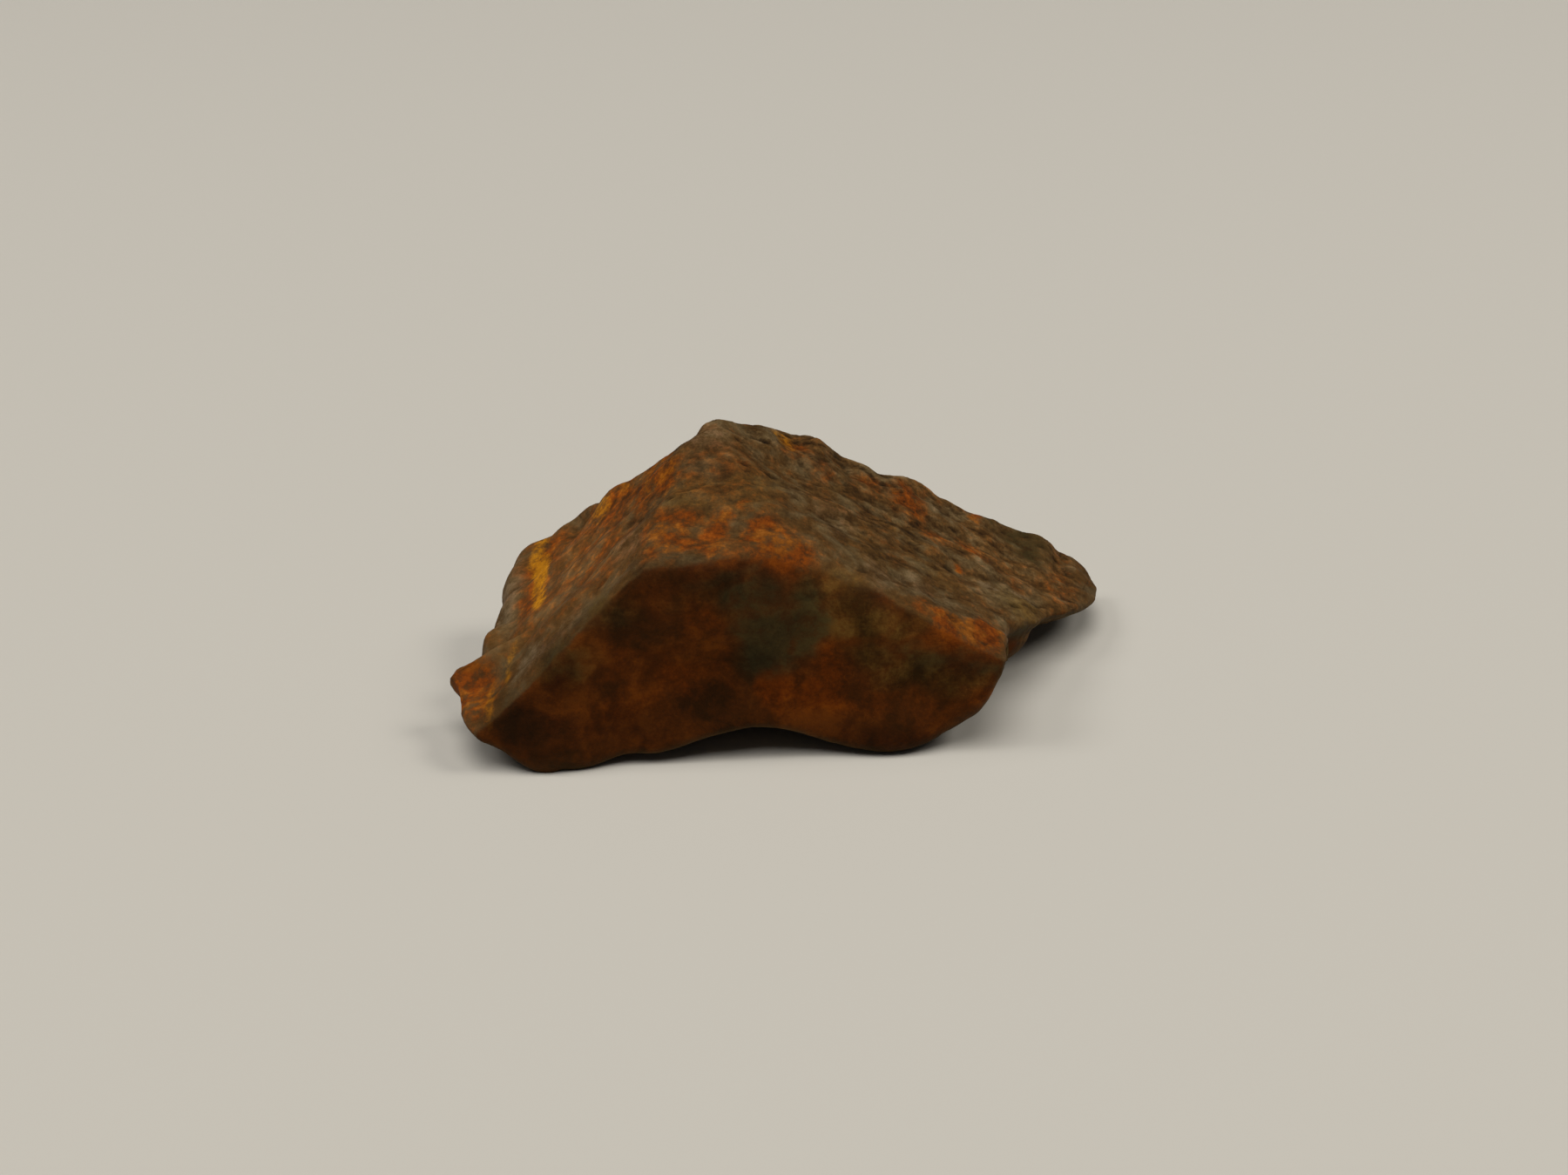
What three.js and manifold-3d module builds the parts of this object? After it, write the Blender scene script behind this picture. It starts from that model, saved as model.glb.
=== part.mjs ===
// An iron meteorite: one angular, rusted fragment of nickel-iron, shaped like a low crooked roof.
// Millimetres, +Z up, resting on z = 0. +X runs along its length, -Y is the broken front face.
import * as THREE from "three";
import { mergeVertices } from "three/addons/utils/BufferGeometryUtils.js";
import Module from "manifold-3d";

// ---- driving dimensions ----
const length = 59;
const depth = 35;
const height = 23.5;
const cell = 1.4; // spacing of the skin's grid
const evenings = 2; // how often the grid is evened out

// A line buried along the middle of the rock. Each point of the skin is looked for from this line.
const spine = { from: [-19, 12, 5], to: [18, 20, 4.5] };

// The rough block that the search aims through: where each side stands on the ground, how far
// it leans over by the roof, and how far askew it runs by its far end.
const blockout = {
  left: { foot: -24, lean: -3 },
  right: { foot: 14, lean: 6.5, skew: 11 },
  front: { foot: 1.8, skew: 3.2 },
  rear: { foot: 28, lean: -1, skew: 6.5 },
  // where one of those sides is pushed in, more and more towards the roof
  thumbprint: { lean: -6, at: 0.33, width: 0.16 }, // the rear, under the peak
  wingNotch: { lean: -2.0, at: 0.24, width: 0.14 }, // the right, behind the lobe
  thinnest: 3,
};

// Corners that the faces are hung on: [x, y, z].
const peak = [-4.4, 22, 24.2];
const rimLeft = [-10.9, 3, 18.7];
const lobeTip = [20.9, 5.4, 7.1];

// ---- the broken faces, each a plane: which way it looks, and a point it passes through ----
// heading is the compass direction in degrees from +X towards +Y, rise is the angle above level,
// and soft is the width over which its edge with the faces listed before it is rounded.
const roof = {
  leftSlope: { heading: 184, rise: 46.1, through: rimLeft },
  rightSlope: { heading: -3.5, rise: 60.4, through: [8.7, 26, 16.1], soft: 1.8 },
  crest: { heading: 20, rise: 80, through: peak, soft: 1.5 },
  spur: { heading: -90, rise: 74.4, through: rimLeft, soft: 1.2 },
  bevel: { heading: 221, rise: 40, through: [-18.7, 4.8, 13], soft: 0.8 },
};
const sides = {
  front: { heading: -84.5, rise: 0, through: [-10, 2.0, 10] },
  shoulder: { heading: -62, rise: 44, through: [5, 2.6, 14.5], soft: 2.5 },
  lobeUndercut: { heading: -36, rise: -40, through: lobeTip, soft: 1.5 },
  rightTip: { heading: 24, rise: 6, through: [33.8, 30, 3], soft: 1.2 },
  rear: { heading: 98, rise: 6, through: [24.8, 35, 6], soft: 2.0 },
  rearLeft: { heading: 116, rise: 10, through: [-23, 27.2, 8.5], soft: 1.2 },
  leftEnd: { heading: 173, rise: -12, through: [-26.1, 18, 6], soft: 1.0 },
  leftUndercut: { heading: 205, rise: -50, through: [-25.2, 2, 4.4], soft: 1.5 },
};
const wing = { // the cut under the right end, where the rock overhangs like a wing
  under: { heading: -53, rise: -56, through: [26, 18.8, 6.05] },
  edge: { heading: -45, rise: -5, through: [22.7, 13.8, 7.5], soft: 1.0 },
};
const lobeSide = { heading: -4, rise: -22, through: [20.9, 10.4, 8.8] }; // the cut starts behind this
const soles = {
  underside: { heading: 0, rise: -90, through: [0, 0, 0.7] },
  rightSole: { heading: -5, rise: -83, through: [12, 15, 0.5], soft: 2.0 },
};
const ear = { // a small wedge that sticks out at the left end
  top: { heading: 236, rise: 62, through: [-25.8, 2.4, 4.4] },
  back: { heading: 100, rise: 10, through: [-26, 9.6, 6.0], soft: 0.8 },
  under: { heading: 200, rise: -60, through: [-27.6, 6, 3.4], soft: 0.8 },
  tip: { heading: 202, rise: -16, through: [-27.6, 5.2, 5.1], soft: 0.6 },
  root: { heading: 0, rise: 0, through: [-19, 6, 5], soft: 1.0 }, // buried in the body
  front: { ...sides.front, soft: 1.0 },
};
const seams = { roofToSides: 1.0, bodyToSole: 1.5, bodyToEar: 0.5, wingToLobe: 1.0, bodyToWing: 1.4 };

// ---- relief that covers the whole skin: height and wavelength ----
const relief = {
  broad: { height: 0.35, wavelength: 13, seed: 1 },
  close: { height: 0.2, wavelength: 6.5, seed: 2 },
  ledges: { height: 0.22, coarse: 6.7, fine: 4.1, askew: 0.18 }, // on the roof only
};

// ---- hollows, each an ellipsoid bitten out of the body ----
const hollows = [
  { at: [-5, -11, 9], radii: [17, 14.5, 10.5], soft: 1.5 }, // the big front scoop
  { at: [-1.8, -1, -5], radii: [10.5, 12, 8.6], soft: 1.0 }, // the arch under the front
  { at: [-12, 37.4, 26], radii: [14, 15.6, 18], soft: 1.5 }, // two thumbprints behind the peak
  { at: [-5, 38.5, 10], radii: [8, 10, 6], soft: 1.2 },
  { at: [8.2, 41, 16], radii: [7.4, 11, 12], soft: 1.0 }, // three bites along the rear edge
  { at: [18.2, 42, 9], radii: [5.4, 9.6, 7], soft: 0.8 },
  { at: [25.4, 43, 7], radii: [4.2, 8.6, 6], soft: 0.8 },
  { at: [13, 41, 3], radii: [7, 8, 5], soft: 1.2 }, // and one lower down
  { at: [-29.6, 13.6, 11.8], radii: [5.2, 6, 4.6], soft: 0.8 }, // scallops down the left edge
  { at: [-34, 21, 6], radii: [9, 5.5, 5], soft: 0.8 },
  { at: [-12, 17, -6], radii: [9, 9, 8.5], soft: 1.5 }, // two hollows underneath
  { at: [15, 20, -6.5], radii: [8, 9, 9], soft: 1.5 },
];

// ---- lumps, each an ellipsoid that stands out of the body ----
const lumps = [
  { at: [-18.2, 5, 2.4], radii: [4.5, 4.0, 3.4], soft: 2.5 }, // front left foot
  { at: [9.8, 8, 2.4], radii: [4.8, 4.0, 3.2], soft: 2.5 }, // front right foot
  { at: [0, 26, 2.4], radii: [6, 4.5, 3.2], soft: 2.5 }, // rear foot
  { at: [20, 18, 5.9], radii: [3.5, 4, 3.3], soft: 1.0 }, // root of the wing, behind the lobe
];

const radians = (angle) => (angle * Math.PI) / 180;

function direction(heading, rise) {
  return [
    Math.cos(radians(rise)) * Math.cos(radians(heading)),
    Math.cos(radians(rise)) * Math.sin(radians(heading)),
    Math.sin(radians(rise)),
  ];
}

// The larger of two distances, with the corner between them rounded over a width.
function meet(a, b, width) {
  const overlap = Math.max(width - Math.abs(a - b), 0);
  return Math.max(a, b) + (overlap * overlap) / (4 * width);
}

// A slow ripple made of six sine waves that run in different directions.
function ripple(p, { height, wavelength, seed }) {
  let sum = 0;
  for (let i = 0; i < 6; i++) {
    const turn = seed * 1.7 + i * 2.4;
    const tip = 0.9 * Math.sin(seed * 2.3 + i * 1.9);
    const k = (2 * Math.PI * (0.7 + 0.16 * i)) / wavelength;
    const along =
      p[0] * Math.cos(turn) * Math.cos(tip) +
      p[1] * Math.sin(turn) * Math.cos(tip) +
      p[2] * Math.sin(tip);
    sum += Math.sin(k * along + seed * 5.1 + i * 1.3);
  }
  return (height * sum) / 6;
}

// Long low ledges that run across the length, where the metal splits along its grain.
function ledges(p, { height, coarse, fine, askew }) {
  const across = p[1] - askew * p[0];
  const drift = 0.9 * Math.sin(0.21 * p[0] + 0.4) + 0.6 * Math.sin(0.37 * p[2] - 0.13 * p[0] + 2);
  const wide = Math.sin((2 * Math.PI * (across + drift)) / coarse + 0.8);
  const narrow = Math.sin((2 * Math.PI * (across - drift)) / fine + 2.2);
  return height * (0.6 * wide + 0.4 * narrow);
}

for (const face of [roof, sides, wing, { lobeSide }, soles, ear].flatMap((group) => Object.values(group))) {
  face.normal = direction(face.heading, face.rise);
}

function beyond(face, p) {
  const [a, b, c] = face.normal;
  const [x, y, z] = face.through;
  return a * (p[0] - x) + b * (p[1] - y) + c * (p[2] - z);
}

// How far p lies outside a group of faces, each rounded into the ones before it.
function beyondAll(group, p) {
  const [first, ...rest] = Object.values(group);
  return rest.reduce((f, face) => meet(f, beyond(face, p), face.soft), beyond(first, p));
}

function outsideEllipsoid(p, { at, radii }) {
  const q = at.map((c, i) => (p[i] - c) / radii[i]);
  return (Math.hypot(...q) - 1) * Math.min(...radii);
}

// How far p lies outside the rock, roughly: negative inside, zero on the skin.
function outside(p) {
  let f = beyondAll(roof, p) + ledges(p, relief.ledges);
  f = meet(f, beyondAll(sides, p), seams.roofToSides);
  f = meet(f, beyondAll(soles, p), seams.bodyToSole);
  const cut = meet(-beyondAll(wing, p), -beyond(lobeSide, p), seams.wingToLobe);
  f = meet(f, -cut, seams.bodyToWing);
  f = -meet(-f, -beyondAll(ear, p), seams.bodyToEar);
  for (const lump of lumps) f = -meet(-f, -outsideEllipsoid(p, lump), lump.soft);
  for (const hollow of hollows) f = meet(f, -outsideEllipsoid(p, hollow), hollow.soft);
  return f + ripple(p, relief.broad) + ripple(p, relief.close);
}

// Walks out from the spine along a ray and halves the step down to the skin.
function skinPoint(start, ray) {
  let near = 0;
  let far = 50;
  for (let i = 0; i < 30; i++) {
    const t = (near + far) / 2;
    if (outside(start.map((c, j) => c + t * ray[j])) > 0) far = t;
    else near = t;
  }
  return start.map((c, j) => c + far * ray[j]);
}

// Height of the roof over a spot on the ground.
function roofHeight(x, y) {
  const slopes = [roof.leftSlope, roof.rightSlope, roof.crest, roof.spur];
  return Math.min(...slopes.map((face) => -beyond(face, [x, y, 0]) / face.normal[2]));
}

// A point of the rough block, whose edges run where the rock's own edges run.
// u goes from left to right, v from front to back, w from the ground to the roof, each 0 to 1.
function blockPoint(u, v, w) {
  const { left, right, front, rear, thumbprint, wingNotch } = blockout;
  const pushed = ({ lean, at, width }, along) => lean * Math.exp(-(((along - at) / width) ** 2));
  const xLeft = left.foot + left.lean * w;
  const xRight = right.foot + right.skew * v + (right.lean + pushed(wingNotch, v)) * w;
  const x = xLeft + (xRight - xLeft) * u;
  const yFront = front.foot + front.skew * u;
  const yRear = rear.foot + rear.skew * u + (rear.lean + pushed(thumbprint, u)) * w;
  const y = yFront + (yRear - yFront) * v;
  return [x, y, w * Math.max(roofHeight(x, y), blockout.thinnest)];
}

function skin() {
  const cells = [length, depth, height].map((side) => Math.round(side / cell));
  const box = new THREE.BoxGeometry(1, 1, 1, ...cells).translate(0.5, 0.5, 0.5);
  box.deleteAttribute("normal");
  box.deleteAttribute("uv");
  const geometry = mergeVertices(box, 1e-5);
  const position = geometry.getAttribute("position");
  const from = new THREE.Vector3(...spine.from);
  const to = new THREE.Vector3(...spine.to);
  for (let i = 0; i < position.count; i++) {
    const [u, v, w] = [position.getX(i), position.getY(i), position.getZ(i)];
    const start = from.clone().lerp(to, u);
    const ray = new THREE.Vector3(...blockPoint(u, v, w)).sub(start).normalize();
    position.setXYZ(i, ...skinPoint(start.toArray(), ray.toArray()));
  }
  for (let i = 0; i < evenings; i++) evenOut(geometry);
  return geometry;
}

// Moves a point along the slope of the distance until it lies on the skin.
function settle(p) {
  for (let turn = 0; turn < 3; turn++) {
    const here = outside(p);
    const slope = p.map((c, i) => {
      const q = [...p];
      q[i] += 0.01;
      return (outside(q) - here) / 0.01;
    });
    const steep = Math.max(slope[0] ** 2 + slope[1] ** 2 + slope[2] ** 2, 0.25);
    const step = Math.max(-0.6, Math.min(0.6, here / steep));
    p = p.map((c, i) => c - step * slope[i]);
  }
  return p;
}

// Draws each point towards the middle of its neighbours, then puts it back on the skin.
function evenOut(geometry) {
  const position = geometry.getAttribute("position");
  const sums = Array.from({ length: position.count }, () => [0, 0, 0, 0]);
  const order = geometry.index.array;
  for (let i = 0; i < order.length; i++) {
    const here = sums[order[i]];
    const next = order[i % 3 === 2 ? i - 2 : i + 1];
    here[0] += position.getX(next);
    here[1] += position.getY(next);
    here[2] += position.getZ(next);
    here[3] += 1;
  }
  for (let i = 0; i < position.count; i++) {
    const p = [position.getX(i), position.getY(i), position.getZ(i)];
    position.setXYZ(i, ...settle(p.map((c, j) => (c + sums[i][j] / sums[i][3]) / 2)));
  }
}

// ---- solids ----
const wasm = await Module();
wasm.setup();

function toSolid(geometry) {
  return new wasm.Manifold(
    new wasm.Mesh({
      numProp: 3,
      vertProperties: geometry.getAttribute("position").array,
      triVerts: new Uint32Array(geometry.index.array),
    }),
  );
}

function toGeometry(solid) {
  const { vertProperties, triVerts } = solid.getMesh();
  const geometry = new THREE.BufferGeometry();
  geometry.setAttribute("position", new THREE.BufferAttribute(vertProperties, 3));
  geometry.setIndex(new THREE.BufferAttribute(triVerts, 1));
  geometry.computeVertexNormals();
  return geometry;
}

// The feet are worn flat where the fragment rests.
function floorSlab() {
  const slab = new THREE.BoxGeometry(4 * length, 4 * depth, 10).translate(0, 0, -5);
  slab.deleteAttribute("normal");
  slab.deleteAttribute("uv");
  return toSolid(mergeVertices(slab, 1e-3));
}

const geometry = toGeometry(toSolid(skin()).subtract(floorSlab()));

// Stretched to the overall size, with the origin on the ground under the middle of its box.
geometry.computeBoundingBox();
const size = geometry.boundingBox.getSize(new THREE.Vector3());
const middle = geometry.boundingBox.getCenter(new THREE.Vector3());
geometry.translate(-middle.x, -middle.y, 0);
geometry.scale(length / size.x, depth / size.y, height / size.z);

const rust = new THREE.MeshStandardMaterial({ color: 0x5a4030, roughness: 0.8, metalness: 0.2 });
const meteorite = new THREE.Mesh(geometry, rust);
meteorite.name = "meteorite";

const root = new THREE.Group();
root.add(meteorite);
export default root;
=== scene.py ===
import math

import bpy
import numpy as np
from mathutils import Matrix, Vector


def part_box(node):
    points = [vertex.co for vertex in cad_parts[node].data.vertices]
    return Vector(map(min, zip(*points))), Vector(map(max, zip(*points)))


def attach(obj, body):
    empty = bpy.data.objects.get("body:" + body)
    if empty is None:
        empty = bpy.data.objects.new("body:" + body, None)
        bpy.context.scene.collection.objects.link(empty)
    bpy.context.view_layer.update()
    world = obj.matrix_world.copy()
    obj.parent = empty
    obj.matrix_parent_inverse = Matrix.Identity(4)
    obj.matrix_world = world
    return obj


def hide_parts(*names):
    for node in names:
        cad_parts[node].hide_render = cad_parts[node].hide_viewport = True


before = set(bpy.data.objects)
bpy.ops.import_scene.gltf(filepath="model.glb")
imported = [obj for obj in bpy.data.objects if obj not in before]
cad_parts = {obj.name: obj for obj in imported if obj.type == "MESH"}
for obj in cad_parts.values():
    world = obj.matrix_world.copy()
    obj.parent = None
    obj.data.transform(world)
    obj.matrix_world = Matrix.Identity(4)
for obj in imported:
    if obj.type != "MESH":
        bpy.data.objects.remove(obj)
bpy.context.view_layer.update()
scene = bpy.context.scene
mm = 0.001
tiny = 1e-9  # keeps a division from being one by zero

# The fragment's shape, in millimetres. A face is its heading in degrees from +X towards +Y, its
# rise above level, a point that it passes through, and the width over which its edge with the
# faces before it is rounded.
rimLeft = (-10.9, 3, 18.7)
frontFace = (-84.5, 0, (-10, 2.0, 10))
shape = {
    "roof": [
        (184, 46.1, rimLeft, 0),  # left slope
        (-3.5, 60.4, (8.7, 26, 16.1), 1.4),  # right slope
        (20, 80, (-4.4, 22, 24.2), 1.2),  # crest
        (-90, 74.4, rimLeft, 1.0),  # spur
        (221, 40, (-18.7, 4.8, 13), 0.6),  # worn bevel
    ],
    "sides": [
        (*frontFace, 0),
        (-62, 44, (5, 2.6, 14.5), 1.6),  # shoulder
        (-36, -40, (20.9, 5.4, 7.1), 1.2),  # under the lobe
        (24, 6, (33.8, 30, 3), 1.2),  # right tip
        (98, 6, (24.8, 35, 6), 1.6),  # rear
        (116, 10, (-23, 27.2, 8.5), 1.2),
        (173, -12, (-26.1, 18, 6), 0.8),  # left end
        (205, -50, (-25.2, 2, 4.4), 1.2),
    ],
    "soles": [(0, -90, (0, 0, 0.7), 0), (-5, -83, (12, 15, 0.5), 2.0)],
    "ear": [
        (236, 62, (-25.8, 2.4, 4.4), 0),
        (100, 10, (-26, 9.6, 6.0), 0.6),
        (200, -60, (-27.6, 6, 3.4), 0.6),
        (202, -16, (-27.6, 5.2, 5.1), 0.5),
        (0, 0, (-19, 6, 5), 1.0),
        (*frontFace, 0.8),
    ],
    "wing": [  # cut away under the right end
        (-53, -56, (26, 18.8, 6.05), 0),
        (-45, -5, (22.7, 13.8, 7.5), 0.8),
    ],
    "lobe": [(-4, -22, (20.9, 10.4, 8.8), 0)],  # the cut starts behind this
    "seams": {"roof": 0.6, "sole": 1.2, "ear": 0.4, "lobe": 0.8, "wing": 1.0},
    "lumps": [  # centre, radii, rounding: the three feet, and the root of the wing
        ((-18.2, 5, 2.4), (4.5, 4.0, 3.4), 2.5),
        ((9.8, 8, 2.4), (4.8, 4.0, 3.2), 2.5),
        ((0, 26, 2.4), (6, 4.5, 3.2), 2.5),
        ((20, 18, 5.9), (3.5, 4, 3.3), 1.0),
    ],
    "hollows": [
        ((-5, -11, 9), (17, 14.5, 10.5), 1.5),  # front scoop
        ((-1.8, -1, -5), (10.5, 12, 8.6), 1.0),  # arch
        ((-12, 37.4, 26), (14, 15.6, 18), 1.2),  # thumbprints behind the peak
        ((-5, 38.5, 10), (8, 10, 6), 1.0),
        ((8.2, 41, 16), (7.4, 11, 12), 0.8),  # bites along the rear
        ((18.2, 42, 9), (5.4, 9.6, 7), 0.6),
        ((25.4, 43, 7), (4.2, 8.6, 6), 0.6),
        ((13, 41, 3), (7, 8, 5), 1.0),
        ((-29.6, 13.6, 11.8), (5.2, 6, 4.6), 0.6),  # scallops down the left edge
        ((-34, 21, 6), (9, 5.5, 5), 0.6),
        ((-12, 17, -6), (9, 9, 8.5), 1.5),  # underneath
        ((15, 20, -6.5), (8, 9, 9), 1.5),
    ],
    "ripples": [(0.35, 13, 1), (0.2, 6.5, 2)],  # height, wavelength, seed
    "ledges": {
        "height": 0.22,
        "waves": [(6.7, 0.6, 0.8, 1), (4.1, 0.4, 2.2, -1)],  # spacing, share, start, side of the drift
        "drift": [(0.9, 0.21, 0, 0.4), (0.6, -0.13, 0.37, 2)],  # height, turn along x and z, start
    },
    "askew": 0.18,  # how far the grain turns from the length
    "block": {  # the rough block that the grid is wrapped on: a place, then what it gains
        "left": (-24, -3),  # up to the roof
        "right": (14, 11, 6.5),  # to the rear, and up to the roof
        "rightDip": (2, 0.24, 0.14),  # depth, place and width
        "front": (1.8, 3.2),  # to the right
        "rear": (28, 6.5, -1),  # to the right, and up to the roof
        "rearDip": (6, 0.33, 0.16),
        "lowest": 3,  # height that the roof keeps at least
    },
    "spine": ((-19, 12, 5), (18, 20, 4.5)),  # the skin is looked for outwards from this line
    "search": (50.0, 24),  # how far out, and in how many halvings
    "evening": (3, 4),  # rounds, and how often the grid is evened in each
    "settling": (2, 0.25, 0.3),  # steps, least squared slope, longest step
    "grid": (204, 114, 82),  # cells along the length, depth and height
}


def pointing(turn, tip):
    # unit vector from a compass angle and a rise, both in radians
    level = math.cos(tip)
    return np.array([math.cos(turn) * level, math.sin(turn) * level, math.sin(tip)])


def direction(heading, rise):
    # the same from degrees
    return pointing(math.radians(heading), math.radians(rise))


def meet(a, b, width):
    # the larger of two distances, plus a parabola where they differ by less than the width
    overlap = np.maximum(width - np.abs(a - b), 0)
    return np.maximum(a, b) + overlap**2 / (4 * max(width, tiny))


def beyondFaces(p, faces):
    # distance past each plane, point minus plane point along its normal, met one after another
    total = None
    for heading, rise, through, soft in faces:
        distance = (p - through) @ direction(heading, rise)
        total = distance if total is None else meet(total, distance, soft)
    return total


def outsideBall(p, at, radii):
    # length of the offset measured in radii, less one, times the smallest radius
    return (np.linalg.norm((p - at) / np.array(radii), axis=1) - 1) * min(radii)


def ripple(p, height, wavelength, seed):
    # mean of six sine waves, each a little shorter; the odd numbers set their headings and starts
    waves = 6
    total = 0
    for i in range(waves):
        way = pointing(seed * 1.7 + i * 2.4, 0.9 * math.sin(seed * 2.3 + i * 1.9))
        k = 2 * math.pi * (0.7 + 0.16 * i) / wavelength
        total = total + np.sin(k * (p @ way) + seed * 5.1 + i * 1.3)
    return height * total / waves


def grainDepth(p):
    # how far into the stack of laminae a point lies
    return p[:, 1] - shape["askew"] * p[:, 0]


def ledges(p):
    # two sine waves across the grain, bent by slow waves along it
    rows = shape["ledges"]
    drift = 0
    for height, alongX, alongZ, start in rows["drift"]:
        drift = drift + height * np.sin(alongX * p[:, 0] + alongZ * p[:, 2] + start)
    total = 0
    for spacing, share, start, side in rows["waves"]:
        total = total + share * np.sin(2 * math.pi * (grainDepth(p) + side * drift) / spacing + start)
    return rows["height"] * total


def outside(p):
    # roof, sides and soles met and the wing's cut taken, then ear and lumps added, hollows taken
    # and ripples laid on: below 0 inside, above 0 outside
    seams = shape["seams"]
    f = beyondFaces(p, shape["roof"]) + ledges(p)
    f = meet(f, beyondFaces(p, shape["sides"]), seams["roof"])
    f = meet(f, beyondFaces(p, shape["soles"]), seams["sole"])
    cut = meet(-beyondFaces(p, shape["wing"]), -beyondFaces(p, shape["lobe"]), seams["lobe"])
    f = meet(f, -cut, seams["wing"])
    f = -meet(-f, -beyondFaces(p, shape["ear"]), seams["ear"])
    for at, radii, soft in shape["lumps"]:
        f = -meet(-f, -outsideBall(p, at, radii), soft)
    for at, radii, soft in shape["hollows"]:
        f = meet(f, -outsideBall(p, at, radii), soft)
    return f + sum(ripple(p, *one) for one in shape["ripples"])


def blockGrid(counts):
    # six grids of whole numbers, one for each side of a box, joined where they share points
    points, quads, base = [], [], 0
    for axis in range(3):
        a, b = (axis + 1) % 3, (axis + 2) % 3
        ia, ib = np.meshgrid(np.arange(counts[a] + 1), np.arange(counts[b] + 1), indexing="ij")
        for end in (0, 1):
            grid = np.zeros((*ia.shape, 3), int)
            grid[..., a], grid[..., b], grid[..., axis] = ia, ib, end * counts[axis]
            at = base + np.arange(ia.size).reshape(ia.shape)
            corners = [at[:-1, :-1], at[1:, :-1], at[1:, 1:], at[:-1, 1:]]
            quads.append(np.stack([c.ravel() for c in (corners if end else corners[::-1])], 1))
            points.append(grid.reshape(-1, 3))
            base += ia.size
    points, quads = np.concatenate(points), np.concatenate(quads)
    key = (points[:, 0] * (counts[1] + 1) + points[:, 1]) * (counts[2] + 1) + points[:, 2]
    _, first, same = np.unique(key, return_index=True, return_inverse=True)
    return points[first] / np.array(counts), same.reshape(-1)[quads]


def dip(t, depth, place, width):
    # a bell: the depth times e to minus the square of the offset over the width
    return depth * np.exp(-(((t - place) / width) ** 2))


def roughBlock(uvw):
    # straight blends from left to right, front to back and ground to roof between sides that lean
    u, v, w = uvw.T
    block = shape["block"]
    (left, leftUp), (right, rightBack, rightUp) = block["left"], block["right"]
    (front, frontRight), (rear, rearRight, rearUp) = block["front"], block["rear"]
    left = left + leftUp * w
    right = right + rightBack * v + w * (rightUp - dip(v, *block["rightDip"]))
    x = left + (right - left) * u
    front = front + frontRight * u
    rear = rear + rearRight * u + w * (rearUp - dip(u, *block["rearDip"]))
    y = front + (rear - front) * v
    foot = np.stack([x, y, 0 * x], 1)
    heights = []
    for heading, rise, at, _ in shape["roof"][:-1]:  # all but the worn bevel
        up = direction(heading, rise)
        heights.append(-((foot - at) @ up) / up[2])
    return np.stack([x, y, w * np.maximum(np.min(heights, 0), block["lowest"])], 1)


def searchOut(uvw):
    # from the spine towards the rough block, halving the step down to where the distance is zero
    reach, halvings = shape["search"]
    first, last = (np.array(end) for end in shape["spine"])
    start = first + (last - first) * uvw[:, :1]
    ray = roughBlock(uvw) - start
    ray /= np.linalg.norm(ray, axis=1, keepdims=True)
    near = np.zeros((len(ray), 1))
    far = np.full((len(ray), 1), reach)
    for _ in range(halvings):
        half = (near + far) / 2
        out = (outside(start + half * ray) > 0)[:, None]
        near, far = np.where(out, near, half), np.where(out, half, far)
    return start + far * ray


def slopeOf(p, here):
    # gain of the distance over a small nudge along each axis
    nudge = 0.01
    return np.stack([(outside(p + step) - here) / nudge for step in nudge * np.eye(3)], 1)


def settle(p):
    # each point moves down the slope of the distance until the distance is zero
    steps, least, longest = shape["settling"]
    for _ in range(steps):
        here = outside(p)
        slope = slopeOf(p, here)
        steep = np.maximum((slope**2).sum(1), least)
        p = p - np.clip(here / steep, -longest, longest)[:, None] * slope
    return p


def neighbourMean(values, quads):
    # mean over the four edges that leave each point, as sums of weights by point number
    total = np.zeros(values.shape)
    count = np.zeros(len(values))
    for a, b in ((0, 1), (1, 2), (2, 3), (3, 0)):
        for one, other in ((quads[:, a], quads[:, b]), (quads[:, b], quads[:, a])):
            count += np.bincount(one, minlength=len(values))
            for k in range(values.shape[1]):
                total[:, k] += np.bincount(one, values[other, k], len(values))
    return total / count[:, None]


def pointNormals(p, quads):
    # cross product of each face's diagonals, summed on its corners
    across = np.cross(p[quads[:, 2]] - p[quads[:, 0]], p[quads[:, 3]] - p[quads[:, 1]])
    corners = quads.ravel()
    total = [np.bincount(corners, np.repeat(across[:, k], 4), len(p)) for k in range(3)]
    total = np.stack(total, 1)
    return total / np.maximum(np.linalg.norm(total, axis=1, keepdims=True), tiny)


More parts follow.
